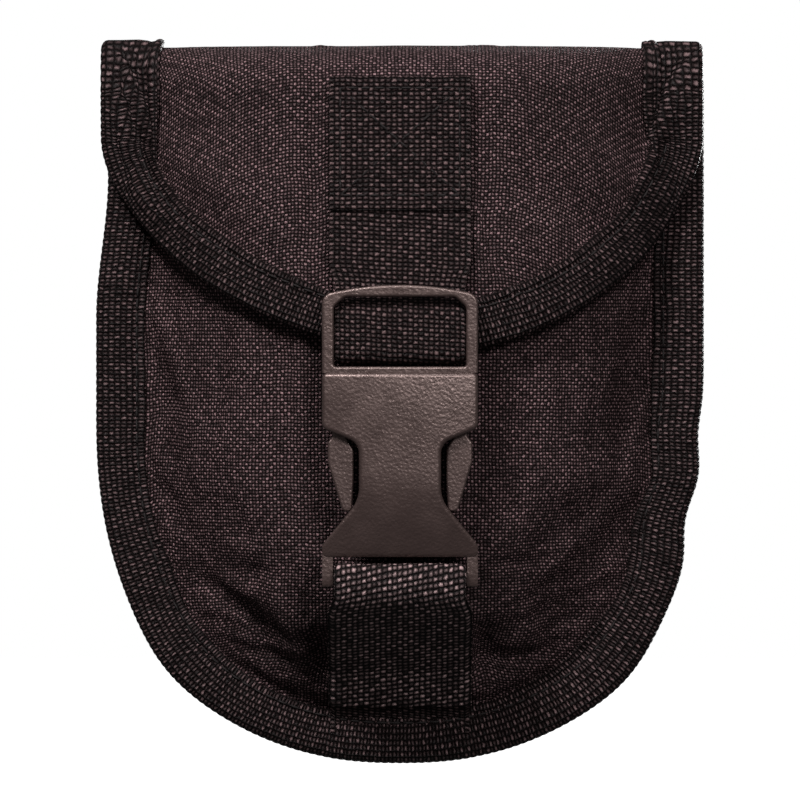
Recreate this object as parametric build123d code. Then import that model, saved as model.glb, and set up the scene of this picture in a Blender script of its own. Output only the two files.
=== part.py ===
"""Belt pouch for a small folding camp shovel, closed by a curved flap and a side-release buckle.

The origin is on the back panel's rear face, at the middle of the belt loop. X is across the
pouch, the front faces -Y, and Z is up. All sizes are in millimetres.

Layers over the front are offsets of one shape, the "form": the domed front panel with its flat
rim. form(0) is the front panel's outer face and the face of the rim binding.
"""
from build123d import *
import math
import os

os.makedirs("parts", exist_ok=True)

# Pouch
HALF_WIDTH = 69.3  # half the width over the binding
HEIGHT = 163.7  # top of the flap to the bottom edge
DEPTH = 30.0  # back panel's rear face to the front panel's outer face
TOP = 48.0  # top of the flap above the middle of the belt loop
CURVE_START = 37.0  # depth below the origin at which the sides begin to curve in
CURVE_POWER = 2.3  # fullness of the bottom curve, 2 being an ellipse
CLOTH = 1.4  # cloth thickness
SIDE_SHOULDER = 38.0  # width over which the front panel rises, at the sides
BOTTOM_SHOULDER = 55.0  # the same, at the bottom
SHOULDER_POWER = 2.0  # shape of that rise: 1 is a straight slope, and more is rounder
TOP_FALL = 5.0  # how far the flap falls from back to front over the mouth
MOUTH_DROP = 11.5  # top of the flap to the front panel's top edge
MOUTH_CLEARANCE = 3.8  # between the mouth binding's ends and the rise of the front panel

# Edge binding, a tape folded over the edge
BINDING_WIDTH = 11.5
TAPE = 1.0
BINDING_TOP_DROP = 8.0  # top of the flap to the top ends of the rim binding
MOUTH_BINDING_WIDTH = 9.0

# Flap
FLAP_SIDE = 0.3  # how much narrower the flap is than the pouch, on each side
FLAP_HALF_WIDTH = HALF_WIDTH - FLAP_SIDE
FLAP_CURVE_DROP = 21.0  # top of the flap to where its sides begin to curve in
FLAP_DROP = 70.5  # top of the flap to its tip
FLAP_POWER = 1.78
FLAP_GAP = 0.5  # between the front panel and what lies on it

# Thread
THREAD_WIDTH = 0.6
THREAD_HEIGHT = 0.25
SEAM_INSET = 9.2  # outer edge of the binding to its line of stitching

# Webbing
WEBBING_WIDTH = 32.0
WEBBING = 1.5
PLY_GAP = 0.1  # between two plies of webbing
STRAP_SIDE_GAP = 0.3  # each side of a strap where it goes through the buckle

# Upper strap
PATCH_TOP_DROP = 8.2  # top of the flap to the top of the sewn patch
PATCH_HEIGHT = 29.3
BOX_INSET = 2.6  # edge of the patch to its box stitch

# Buckle
BUCKLE_WIDTH = 35.0
BUCKLE_THICKNESS = 11.0
BUCKLE_STANDOFF = 8.5  # front panel's outer face to the buckle's middle plane
BUCKLE_CROWN = 120.0  # radius of the front and back faces
BUCKLE_EDGE = 1.0  # rounding of the outer edges
MOUTH_DEPTH = 26.8  # depth of the receiver's mouth below the origin
RUN = 0.3  # clearance between pieces that slide or turn

# Receiver
RECEIVER_BODY = 41.3  # mouth to the end of the face
RECEIVER_LENGTH = 48.0  # mouth to the ends of the legs
WAIST_HALF_WIDTH = 9.2
WAIST_TOP = 15.8
WAIST_BOTTOM = 28.5
SHOULDER_DEPTH = 12.4
FOOT_DEPTH = 38.5
FACE_WALL = 1.6
SIDE_WALL = 1.0
CAVITY_LENGTH = 32.5
LEG_WIDTH = 2.4
LEG_INSET = 0.05  # outer face of a leg behind the side of the shell
LEG_THICKNESS = 7.0
END_BAR_RADIUS = 1.5
END_BAR_RISE = 2.0  # ends of the legs to the bar's axis

# Plug
FRAME_THICKNESS = 7.0
FRAME_RISE = 19.7  # mouth to the top of the frame
FRAME_ARCH = 2.2
RAIL_WIDTH = 2.7
TOP_BAR_HEIGHT = 2.7
TOP_BAR_THICKNESS = 2.6
CROSS_BAR_RISE = 1.4  # height above the mouth of the frame's lower bar
FRAME_EDGE = 0.6  # rounding of the frame's front edges
MIDDLE_BAR_HEIGHT = 6.6
MIDDLE_BAR_THICKNESS = 2.8
MIDDLE_BAR_RISE = 8.3  # mouth to the middle of that bar
MIDDLE_BAR_BACK = 1.0  # back of the frame to the back of that bar
BLOCK_DEPTH = 4.2  # how far the plug's root reaches into the mouth
GUIDE_HALF_WIDTH = 3.0
GUIDE_THICKNESS = 3.0
GUIDE_LENGTH = 25.0
PRONG_THICKNESS = 5.0
KNUCKLE_RADIUS = 1.4
KNUCKLE_DEPTH = 3.4
ARM_WIDTH = 2.4
PAD_WIDTH = 5.8
PAD_TOP = 15.4
PAD_BOTTOM = 31.0

# Lower strap
SEWN_SHARE = 0.05  # top of the sewn end, as a share of the bottom shoulder
SEWN_LENGTH = 7.0  # the sewn end's length
FOLD = 1.2  # room at the sewn end for the free loop to fold

# Belt loop
LOOP_HALF_HEIGHT = 31.0  # origin to the inner end of each sewn end
LOOP_SEWN = 6.5
LOOP_GAP = 6.4  # room for the belt
LOOP_SLOPE = 4.0  # height over which the loop leaves the back panel

FAR = 60.0  # long enough to pass through the whole pouch

RIM = 2 * CLOTH  # both panels together at the rim
RIM_FRONT = RIM + TAPE
BOTTOM = HEIGHT - TOP
FLAP_BACK_TAPE = FLAP_GAP + TAPE  # offsets of the flap's three layers from the form
FLAP_FACE = FLAP_BACK_TAPE + CLOTH
FLAP_FRONT_TAPE = FLAP_FACE + TAPE
FLAP_UNDER = TOP - FLAP_FRONT_TAPE
MOUTH_TOP = TOP - MOUTH_DROP
BUCKLE_Y = -(DEPTH + BUCKLE_STANDOFF)


def outline(half_width, top, curve_start, drop, power, y):
    """A closed outline in an XZ plane: a flat top, straight sides and a superellipse below."""
    steps = 16
    curve = []
    for i in range(steps + 1):
        angle = math.pi * i / steps
        across, down = math.cos(angle), math.sin(angle)
        x = math.copysign(abs(across) ** (2 / power), across) * half_width
        curve.append((x, y, curve_start - abs(down) ** (2 / power) * drop))
    curve[0], curve[-1] = (half_width, y, curve_start), (-half_width, y, curve_start)
    return Wire(
        [
            Line((-half_width, y, top), (half_width, y, top)),
            Line((half_width, y, top), curve[0]),
            Spline(curve, tangents=[(0, 0, -1), (0, 0, 1)]),
            Line(curve[-1], (-half_width, y, top)),
        ]
    )


def pouch_outline(inset, top, y=0.0):
    """The pouch's own outline, drawn in by inset."""
    drop = BOTTOM - CURVE_START - inset
    return outline(HALF_WIDTH - inset, top, -CURVE_START, drop, CURVE_POWER, y)


def flap_outline(inset, y=0.0):
    """The flap's outline, drawn in by inset at its sides and tip."""
    drop = FLAP_DROP - FLAP_CURVE_DROP - inset
    return outline(FLAP_HALF_WIDTH - inset, TOP, TOP - FLAP_CURVE_DROP, drop, FLAP_POWER, y)


def prism(wire, front, back=0.0):
    """The space in front of a wire's outline, from y = back to y = -front."""
    face = Face(wire)
    return Pos(0, back - face.center().Y, 0) * extrude(face, back + front, dir=(0, -1, 0))


def box(low, high):
    """A box between two corners."""
    size = [b - a for a, b in zip(low, high)]
    middle = [(a + b) / 2 for a, b in zip(low, high)]
    return Pos(*middle) * Box(*size)


def rise(share):
    """How far the front stands out of the rim at a share of the shoulder's width."""
    return (DEPTH - RIM_FRONT) * (1 - (1 - share) ** SHOULDER_POWER)


def dome(offset, top, top_fall=0.0):
    """The space behind the domed front, grown by offset."""
    sections = []
    for share in (0, 0.12, 0.25, 0.42, 0.6, 0.8, 1):
        sections.append(
            outline(
                HALF_WIDTH - BINDING_WIDTH + offset - SIDE_SHOULDER * share,
                top + offset - top_fall * share,
                -CURVE_START,
                BOTTOM - CURVE_START - BINDING_WIDTH + offset - BOTTOM_SHOULDER * share,
                CURVE_POWER,
                -(RIM_FRONT + rise(share) + offset),
            )
        )
    base = prism(sections[0], RIM_FRONT + offset)
    return base + Solid.make_loft(sections)


def form(offset):
    """The closed pouch under the flap, with its rim, grown by offset."""
    rim = prism(pouch_outline(-offset, FLAP_UNDER + offset), RIM_FRONT + offset)
    return rim + dome(offset, FLAP_UNDER, TOP_FALL)


def webbing(points, bends, width=WEBBING_WIDTH):
    """A strap of webbing that follows points (y, z) at its middle, with rounded bends."""
    path = FilletPolyline(*[(0, y, z) for y, z in points], radius=bends)
    start = Plane(origin=path @ 0, x_dir=(1, 0, 0), z_dir=path % 0)
    return sweep(start * Rectangle(width, WEBBING), path=path)


def shoulder_point(share, offset):
    """A point (y, z) in front of the bottom shoulder at x = 0, at a share of its width."""
    out = -(RIM_FRONT + rise(share))
    up = BINDING_WIDTH - BOTTOM + BOTTOM_SHOULDER * share
    slope = (DEPTH - RIM_FRONT) * SHOULDER_POWER * (1 - share) ** (SHOULDER_POWER - 1)
    length = math.hypot(slope, BOTTOM_SHOULDER)
    return (out - offset * BOTTOM_SHOULDER / length, up - offset * slope / length)


def polygon(points, roundings, thickness):
    """A plate of the given thickness about y = 0, from corners (x, z), each one rounded."""
    corners = [Vector(x, 0, z) for x, z in points]
    face = Face(Wire.make_polygon(corners, close=True))
    for corner, radius in zip(corners, roundings):
        if radius:
            vertex = min(face.vertices(), key=lambda v: (v.center() - corner).length)
            face = face.fillet_2d(radius, [vertex])
    plate = extrude(face, thickness / 2, dir=(0, -1, 0), both=True)
    return plate


def crown(offset, length):
    """A slab about y = 0 with crowned faces, its middle drawn in by offset."""
    half = BUCKLE_THICKNESS / 2 - offset
    radius = BUCKLE_CROWN - offset
    place = radius - half
    faces = [Pos(0, side * place, -length / 2) * Cylinder(radius, length * 2) for side in (-1, 1)]
    return faces[0] & faces[1]


def at_mouth(shape):
    """Carries a shape drawn about the middle of the receiver's mouth to its place."""
    return Pos(0, BUCKLE_Y, -MOUTH_DEPTH) * shape


def make_back_panel():
    return prism(pouch_outline(TAPE, FLAP_UNDER), CLOTH)


def front_panel_space():
    """The front panel without its mouth cut: the dome's wall and the flange in the rim."""
    tall = TOP + 10
    wall = dome(0, tall) - dome(-CLOTH, tall)
    flange = prism(pouch_outline(TAPE, tall), RIM, -CLOTH)
    return wall - prism(pouch_outline(0, tall), CLOTH) + (flange - dome(-CLOTH, tall))


def make_front_panel():
    below_mouth = box((-FAR * 2, -FAR, -HEIGHT), (FAR * 2, 0, MOUTH_TOP - TAPE))
    return front_panel_space() & below_mouth


def make_mouth_binding(front_panel):
    half = HALF_WIDTH - BINDING_WIDTH - MOUTH_CLEARANCE
    band = box((-half, -FAR, MOUTH_TOP - MOUTH_BINDING_WIDTH), (half, -RIM_FRONT, MOUTH_TOP))
    tall = TOP + 10
    return (dome(TAPE, tall) - dome(-CLOTH - TAPE, tall)) & band - front_panel


def make_body_binding():
    top = TOP - BINDING_TOP_DROP
    outer = prism(pouch_outline(0, top), RIM_FRONT, TAPE)
    inner = prism(pouch_outline(BINDING_WIDTH, top + 1), FAR, FAR / 2)
    cloth = prism(pouch_outline(TAPE, top + 1), RIM)
    return outer - inner - cloth


def seam(wire_maker, front, back):
    """A thin upright ribbon of thread along the binding's inner edge."""
    return prism(wire_maker(SEAM_INSET), front, back) - prism(
        wire_maker(SEAM_INSET + THREAD_WIDTH), FAR, FAR / 2
    )


def make_body_seam():
    top = TOP - BINDING_TOP_DROP
    thread = seam(lambda inset: pouch_outline(inset, top), RIM_FRONT + THREAD_HEIGHT, -RIM_FRONT)
    ends = top - THREAD_WIDTH
    return thread & box((-FAR * 2, -FAR, -HEIGHT), (FAR * 2, 0, ends))


def make_flap():
    """The flap's cloth, its binding and the binding's stitching."""
    back, cloth, front = form(FLAP_BACK_TAPE), form(FLAP_FACE), form(FLAP_FRONT_TAPE)
    panel = (cloth - back) & prism(flap_outline(TAPE), FAR)
    band = prism(flap_outline(0), FAR) - prism(flap_outline(BINDING_WIDTH), FAR * 2, 1)
    tape = ((front - form(FLAP_GAP)) & band) - panel
    line = prism(flap_outline(SEAM_INSET), FAR) - prism(
        flap_outline(SEAM_INSET + THREAD_WIDTH), FAR * 2, 1
    )
    below_top = box((-FAR * 2, -FAR, -HEIGHT), (FAR * 2, 0, TOP - TAPE - TOP_FALL))
    thread = (form(FLAP_FRONT_TAPE + THREAD_HEIGHT) - front) & line & below_top
    return panel, tape, thread


def patch_plies():
    """Distances from the front panel's face to the middle of the upper strap's two plies."""
    inner = FLAP_FACE + PLY_GAP + WEBBING / 2
    return inner, inner + WEBBING + PLY_GAP


def make_strap_patch():
    top = TOP - PATCH_TOP_DROP
    half = WEBBING_WIDTH / 2
    plies = []
    for distance in patch_plies():
        middle = -(DEPTH + distance)
        low = (-half, middle - WEBBING / 2, top - PATCH_HEIGHT)
        plies.append(box(low, (half, middle + WEBBING / 2, top)))
    return Compound(children=plies)


def make_patch_thread():
    """A box of stitching with a cross in it, on the patch's face."""
    width = WEBBING_WIDTH - 2 * BOX_INSET
    height = PATCH_HEIGHT - 2 * BOX_INSET
    frame = Rectangle(width, height) - Rectangle(width - 2 * THREAD_WIDTH, height - 2 * THREAD_WIDTH)
    diagonal = math.hypot(width, height) - 4 * THREAD_WIDTH
    slope = math.degrees(math.atan2(height, width))
    for turn in (slope, -slope):
        frame += Rot(0, 0, turn) * Rectangle(diagonal, THREAD_WIDTH)
    face = -(DEPTH + patch_plies()[1] + WEBBING / 2)
    middle = TOP - PATCH_TOP_DROP - PATCH_HEIGHT / 2
    place = Plane(origin=(0, face, middle), x_dir=(1, 0, 0), z_dir=(0, -1, 0))
    return extrude(place * frame, THREAD_HEIGHT)


def middle_bar():
    """The y of the plug's middle bar, back and front, and its z, bottom and top."""
    back = BUCKLE_Y + FRAME_THICKNESS / 2 - MIDDLE_BAR_BACK
    middle = -MOUTH_DEPTH + MIDDLE_BAR_RISE
    half = MIDDLE_BAR_HEIGHT / 2
    return back, back - MIDDLE_BAR_THICKNESS, middle - half, middle + half


def make_upper_loop():
    """The free end of the upper strap, round the plug's middle bar."""
    inner, outer = (-(DEPTH + distance) for distance in patch_plies())
    back, front, low, high = middle_bar()
    end = TOP - PATCH_TOP_DROP - PATCH_HEIGHT - PLY_GAP
    behind = -(DEPTH + FLAP_FRONT_TAPE + THREAD_HEIGHT + PLY_GAP + WEBBING / 2)
    before = front - RUN - WEBBING / 2
    under = low - RUN - WEBBING - 0.5
    return webbing(
        [
            (inner, end),
            (behind, high + WEBBING_WIDTH / 5),
            (behind, under),
            (before, under),
            (before, high + 2.0),
            (behind - WEBBING - PLY_GAP, high + 4.8),
            (outer, end),
        ],
        [8.0, 2.2, 2.2, 2.0, 2.0],
        BUCKLE_WIDTH - 2 * (RAIL_WIDTH + STRAP_SIDE_GAP),
    )


def make_plug():
    """The plug's frame, middle bar, root and centre guide, without its prongs."""
    half = BUCKLE_WIDTH / 2
    low = CROSS_BAR_RISE
    arch = ThreePointArc((-half, 0, FRAME_RISE - FRAME_ARCH), (0, 0, FRAME_RISE),
                         (half, 0, FRAME_RISE - FRAME_ARCH))
    edge = Wire(
        [
            arch,
            Line(arch @ 1, (half, 0, 0)),
            Line((half, 0, 0), (-half, 0, 0)),
            Line((-half, 0, 0), arch @ 0),
        ]
    )
    plate = extrude(Face(edge), FRAME_THICKNESS / 2, dir=(0, -1, 0), both=True)
    corners = plate.edges().filter_by(Axis.Y).group_by(Axis.Z)[-1]
    plate = fillet(corners, RAIL_WIDTH)
    window_half = half - RAIL_WIDTH
    window_top = FRAME_RISE - TOP_BAR_HEIGHT
    window = polygon(
        [(-window_half, low), (window_half, low), (window_half, window_top - 2.2),
         (window_half - 2.5, window_top), (-window_half + 2.5, window_top),
         (-window_half, window_top - 2.2)],
        [0.6, 0.6, 1.5, 1.5, 1.5, 1.5], FAR)
    frame = plate - window
    front_face = frame.faces().sort_by(Axis.Y)[0]
    frame = fillet([e for e in front_face.edges() if e.center().Z > low / 2], FRAME_EDGE)
    behind_top_bar = box(
        (-window_half, -FRAME_THICKNESS / 2 + TOP_BAR_THICKNESS, window_top - 3),
        (window_half, FRAME_THICKNESS, FRAME_RISE + 1))
    frame -= behind_top_bar
    back, front, bottom, top = middle_bar()
    bar = box((-window_half - 0.5, front - BUCKLE_Y, bottom + MOUTH_DEPTH),
              (window_half + 0.5, back - BUCKLE_Y, top + MOUTH_DEPTH))
    bar = fillet(bar.edges().filter_by(Axis.X), MIDDLE_BAR_THICKNESS / 2 - 0.1)
    block_half = half - SIDE_WALL - RUN - 0.4
    block = box((-block_half, -PRONG_THICKNESS / 2, -BLOCK_DEPTH),
                (block_half, PRONG_THICKNESS / 2, low))
    for side in (-1, 1):
        x = side * knuckle_x()
        socket = Cylinder(KNUCKLE_RADIUS + 0.2, FAR)
        block -= Pos(x, 0, -KNUCKLE_DEPTH) * Rot(90, 0, 0) * socket
    guide = box((-GUIDE_HALF_WIDTH, -GUIDE_THICKNESS / 2, -GUIDE_LENGTH),
                (GUIDE_HALF_WIDTH, GUIDE_THICKNESS / 2, -BLOCK_DEPTH + 0.5))
    guide = chamfer(guide.faces().sort_by(Axis.Z)[0].edges().filter_by(Axis.Y), 1.0)
    return at_mouth(frame + bar + block + guide)


def knuckle_x():
    """Distance of the prongs' pivots from the middle."""
    return BUCKLE_WIDTH / 2 - SIDE_WALL - RUN - 1.1 - ARM_WIDTH / 2


def make_prong(side):
    """A springy arm with a finger pad, on the side +1 or -1."""
    outer = BUCKLE_WIDTH / 2 - SIDE_WALL - RUN
    x = knuckle_x()
    half = ARM_WIDTH / 2
    inner = outer - PAD_WIDTH
    points = [
        (x - half, -KNUCKLE_DEPTH),
        (x + half, -KNUCKLE_DEPTH),
        (x + half, -PAD_TOP + 1.2),
        (outer, -PAD_TOP - 0.2),
        (outer, -PAD_TOP - 4.5),
        (outer - 3.3, -PAD_BOTTOM),
        (inner + 0.4, -PAD_BOTTOM - 0.2),
        (inner, -PAD_BOTTOM + 7),
        (inner, -PAD_TOP - 2.0),
        (x - half, -PAD_TOP + 2.5),
    ]
    rounds = [0, 0, 0.8, 0.8, 3.0, 1.3, 0.9, 3.0, 1.5, 1.5]
    arm = polygon([(side * a, b) for a, b in points], rounds, PRONG_THICKNESS)
    knuckle = Pos(side * x, 0, -KNUCKLE_DEPTH) * Rot(90, 0, 0) * Cylinder(
        KNUCKLE_RADIUS, PRONG_THICKNESS)
    pad_edges = [
        e for e in arm.edges()
        if e.center().Z < -PAD_TOP - 1 and abs(abs(e.center().Y) - PRONG_THICKNESS / 2) < 0.01
    ]
    return at_mouth(fillet(pad_edges, 0.5) + knuckle)


def make_receiver():
    """The receiver: a crowned hollow shell with a waist, two legs and an end bar."""
    half = BUCKLE_WIDTH / 2
    right = [
        (half, 0, 1.3),
        (half, -SHOULDER_DEPTH, 1.8),
        (WAIST_HALF_WIDTH, -WAIST_TOP, 3.5),
        (WAIST_HALF_WIDTH, -WAIST_BOTTOM, 8.0),
        (half - 0.1, -FOOT_DEPTH, 3.5),
        (half, -RECEIVER_BODY, 1.2),
    ]
    left = [(-x, z, r) for x, z, r in reversed(right)]
    ring = right + left
    shell = polygon([(x, z) for x, z, _ in ring], [r for _, _, r in ring], BUCKLE_THICKNESS)
    shell = shell & crown(0, RECEIVER_LENGTH)
    rims = [e for e in shell.edges() if abs(e.center().Y) > BUCKLE_THICKNESS / 4]
    shell = fillet(rims, BUCKLE_EDGE)
    hollow = box((-half + SIDE_WALL, -BUCKLE_THICKNESS, -CAVITY_LENGTH),
                 (half - SIDE_WALL, BUCKLE_THICKNESS, 1))
    hollow = hollow & crown(FACE_WALL, RECEIVER_LENGTH)
    shell -= hollow
    for side in (-1, 1):
        leg = box((-LEG_WIDTH / 2, -LEG_THICKNESS / 2, -RECEIVER_LENGTH),
                  (LEG_WIDTH / 2, LEG_THICKNESS / 2, -FOOT_DEPTH))
        leg = fillet(leg.edges().filter_by(Axis.X).group_by(Axis.Z)[0], LEG_THICKNESS / 2 - 0.2)
        shell += Pos(side * (half - LEG_WIDTH / 2 - LEG_INSET), 0, 0) * leg
    bar = Pos(0, 0, -RECEIVER_LENGTH + END_BAR_RISE) * Rot(0, 90, 0) * Cylinder(
        END_BAR_RADIUS, BUCKLE_WIDTH - LEG_WIDTH)
    return at_mouth(shell + bar)


def make_lower_loop():
    """The free part of the lower strap: two plies from its sewn end round the end bar."""
    bar_z = -MOUTH_DEPTH - RECEIVER_LENGTH + END_BAR_RISE
    reach = END_BAR_RADIUS + RUN + WEBBING / 2
    inner = FLAP_GAP + WEBBING / 2
    outer = inner + WEBBING + PLY_GAP
    share = SEWN_SHARE + FOLD / BOTTOM_SHOULDER
    points = [
        shoulder_point(share, inner),
        shoulder_point(0.22, inner),
        (BUCKLE_Y + reach, bar_z - 3.5),
        (BUCKLE_Y + reach, bar_z + reach),
        (BUCKLE_Y - reach, bar_z + reach),
        (BUCKLE_Y - reach, bar_z - 4.5),
        shoulder_point(0.22, outer + 0.2),
        shoulder_point(share, outer + 0.2),
    ]
    bends = [9.0, 4.0, reach - 0.2, reach - 0.2, 6.0, 9.0]
    width = BUCKLE_WIDTH - 2 * (LEG_WIDTH + LEG_INSET + STRAP_SIDE_GAP)
    return webbing(points, bends, width)


def make_strap_anchor():
    """The lower strap's sewn end, both plies, lying on the rim binding."""
    plies = []
    for offset in (FLAP_GAP + WEBBING / 2, FLAP_GAP + 1.5 * WEBBING + PLY_GAP):
        start = shoulder_point(SEWN_SHARE, offset)
        knee = (-RIM_FRONT - offset, start[1] - 0.45 * SEWN_LENGTH)
        end = (-RIM_FRONT - offset, start[1] - SEWN_LENGTH)
        plies.append(webbing([start, knee, end], [2.0]))
    return Compound(children=plies)


def make_belt_loop():
    near, far = WEBBING / 2, LOOP_GAP + WEBBING / 2
    end, bend = LOOP_HALF_HEIGHT + LOOP_SEWN, LOOP_HALF_HEIGHT
    points = [(near, end), (near, bend), (far, bend - LOOP_SLOPE)]
    points += [(y, -z) for y, z in reversed(points)]
    return webbing(points, [3.0, 3.0, 3.0, 3.0])


def make_belt_loop_thread():
    """Two rows of stitching across each sewn end of the belt loop."""
    rows = []
    for side in (-1, 1):
        for row in (0.3, 0.75):
            z = side * (LOOP_HALF_HEIGHT + LOOP_SEWN * row)
            length = WEBBING_WIDTH - 2 * BOX_INSET
            place = Pos(0, WEBBING + THREAD_HEIGHT / 2, z)
            rows.append(place * Box(length, THREAD_HEIGHT, THREAD_WIDTH))
    return Compound(children=rows)


front_panel = make_front_panel()
flap_panel, flap_binding, flap_seam = make_flap()
nodes = {
    "back_panel": make_back_panel(),
    "front_panel": front_panel,
    "mouth_binding": make_mouth_binding(front_panel),
    "body_binding": make_body_binding(),
    "body_seam_thread": make_body_seam(),
    "belt_loop": make_belt_loop(),
    "belt_loop_thread": make_belt_loop_thread(),
    "flap_panel": flap_panel,
    "flap_binding": flap_binding,
    "flap_seam_thread": flap_seam,
    "strap_patch": make_strap_patch(),
    "patch_thread": make_patch_thread(),
    "upper_strap_loop": make_upper_loop(),
    "buckle_plug": make_plug(),
    "plug_prong_left": make_prong(-1),
    "plug_prong_right": make_prong(1),
    "buckle_receiver": make_receiver(),
    "lower_strap_loop": make_lower_loop(),
    "lower_strap_anchor": make_strap_anchor(),
}
for name, shape in nodes.items():
    export_step(shape, f"parts/{name}.step")
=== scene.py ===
"""Looks of a camp shovel's belt pouch: woven nylon, taped edges, webbing and a plastic buckle.

Shapes are worked out in millimetres, in the part's own frame: X across, the front faces -Y,
Z up, the origin on the back panel's rear face. Meshes are written in metres.

The front panel and the flap are each a Relief: a surface sampled on a grid. Tape, stitching
and webbing are laid on a Relief at a distance from it.
"""
import math

import bmesh
import bpy
import numpy as np
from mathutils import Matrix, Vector


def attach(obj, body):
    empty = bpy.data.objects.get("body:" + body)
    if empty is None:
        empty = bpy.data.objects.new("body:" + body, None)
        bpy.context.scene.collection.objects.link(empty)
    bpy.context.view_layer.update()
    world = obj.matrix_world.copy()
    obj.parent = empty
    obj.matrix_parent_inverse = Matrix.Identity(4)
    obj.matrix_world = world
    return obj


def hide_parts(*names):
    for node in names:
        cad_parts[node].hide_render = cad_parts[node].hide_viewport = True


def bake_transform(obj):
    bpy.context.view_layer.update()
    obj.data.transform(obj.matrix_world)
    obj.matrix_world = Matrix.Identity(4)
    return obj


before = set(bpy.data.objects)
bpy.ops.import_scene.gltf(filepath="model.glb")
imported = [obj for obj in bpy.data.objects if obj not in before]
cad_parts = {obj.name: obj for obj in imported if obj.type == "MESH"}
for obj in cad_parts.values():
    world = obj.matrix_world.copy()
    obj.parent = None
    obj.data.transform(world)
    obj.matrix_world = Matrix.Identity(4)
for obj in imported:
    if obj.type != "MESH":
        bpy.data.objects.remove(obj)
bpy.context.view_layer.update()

MM = 0.001

# Pouch, as in the CAD model
HALF_WIDTH = 69.3
TOP = 48.0
BOTTOM = 115.7
DEPTH = 30.0
CURVE_START = 37.0
CURVE_POWER = 2.3
SIDE_SHOULDER = 38.0
BOTTOM_SHOULDER = 55.0
CLOTH = 1.4
TAPE = 1.0
RIM_FRONT = 3.8
BINDING_WIDTH = 11.5
BINDING_TOP = 40.0
MOUTH_TOP = 36.5
MOUTH_TAPE_WIDTH = 9.0
MOUTH_HALF_WIDTH = 54.0
SEAM_INSET = 9.2

# Flap
FLAP_HALF_WIDTH = 69.0
FLAP_CURVE_TOP = 27.0
FLAP_DROP = 49.5
FLAP_POWER = 1.78
FLAP_FACE = 2.9
FLAP_LEVEL = 38.0  # height at which the flap's front begins, below the roll over the top
FLAP_ROLL = 14.0  # length given to that roll in the flap's own coordinates
FLAP_LEAN = 1.7  # how much lower the right half of the flap hangs

# Webbing
WEBBING_WIDTH = 32.0
WEBBING = 1.5
PATCH_TOP = 39.8
PATCH_BOTTOM = 10.5
BOX_INSET = 2.6

BUCKLE_MIDDLE = -38.5  # y of the buckle's middle plane
SEWN_SHARE = 0.0718  # share of the bottom shoulder at which the lower strap leaves its sewn end
SEWN_RISE = 3.1  # how far the rim's tape rises over that sewn end

# Ridges and grooves in the cloth: start (x, z), end (x, z), width and height
FRONT_CREASES = (
    ((-46, -76), (-24, -96), 3.2, 2.7),
    ((-52, -66), (-30, -90), 2.8, -2.3),
    ((-36, -78), (-25, -100), 2.2, -2.4),
    ((-30, -70), (-19, -98), 2.6, 1.8),
    ((-19, -84), (-17.5, -101), 3.0, -3.4),
    ((19, -82), (21, -101), 3.8, -3.9),
    ((27, -76), (35, -98), 3.2, 1.9),
    ((44, 12), (50, -60), 3.0, 0.8),
    ((-50, 5), (-47, -60), 4.0, 0.7),
    ((24, 0), (30, -60), 6.0, -0.5),
)
FLAP_CREASES = (
    ((-62, 30), (-22, 2), 5.0, 1.1),
    ((-52, 40), (-20, 30), 5.0, -0.7),
    ((-46, 22), (-20, 12), 4.0, 0.5),
    ((20, 36), (56, 14), 6.0, 1.1),
    ((24, 20), (50, 2), 4.0, -0.6),
    ((19, 42), (22, -8), 2.4, -0.9),
    ((-19, 42), (-20, -8), 2.4, -0.9),
)

# Relief of the weave and the stitches
RIB_PITCH = 1.7  # along a tape
RIB_HEIGHT = 0.17
PICK_PITCH = 1.5  # along webbing
ROPES = 8  # raised strands across webbing
STITCH = 2.5
STITCH_GAP = 0.55
THREAD_RADIUS = 0.27

# Cloth relaxation
SETTLE_FRAMES = 22

# Woven materials
# The crossings' painted glints differ at random in strength, by up to this share either way.
YARN_SPREAD = 0.75  # how much lighter or darker one crossing may be than the next
YARN_ROUGHNESS = (0.67, 0.42)  # in the gaps, and on the yarns
YARN_SPECULAR = 0.08


# ---------------------------------------------------------------- small helpers

def smooth(low, high, value):
    """0 below low, 1 above high, and a smooth step between."""
    share = np.clip((value - low) / (high - low), 0, 1)
    return share * share * (3 - 2 * share)


def ripple(x, z, seed, wavelength, waves=8):
    """Smooth uneven relief about zero, mostly between -1 and 1."""
    rng = np.random.default_rng(seed)
    total = 0.0
    for _ in range(waves):
        heading, phase = rng.uniform(0, 2 * np.pi, 2)
        size = wavelength * rng.uniform(0.7, 1.7)
        along = x * np.cos(heading) + z * np.sin(heading)
        total = total + np.sin(along * 2 * np.pi / size + phase)
    return total / math.sqrt(waves)


def bell(value, middle, width):
    """1 at the middle, fading smoothly to both sides."""
    return np.exp(-(((value - middle) / width) ** 2))


def crease(x, z, start, end, width, height):
    """A ridge, or a groove where height is negative, that fades towards its two ends."""
    ax, az = start
    bx, bz = end
    length = math.hypot(bx - ax, bz - az)
    along = ((x - ax) * (bx - ax) + (z - az) * (bz - az)) / length
    across = ((x - ax) * (bz - az) - (z - az) * (bx - ax)) / length
    fade = smooth(-0.15 * length, 0.3 * length, along)
    fade = fade * (1 - smooth(0.7 * length, 1.15 * length, along))
    return height * fade * bell(across, 0, width)


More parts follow.
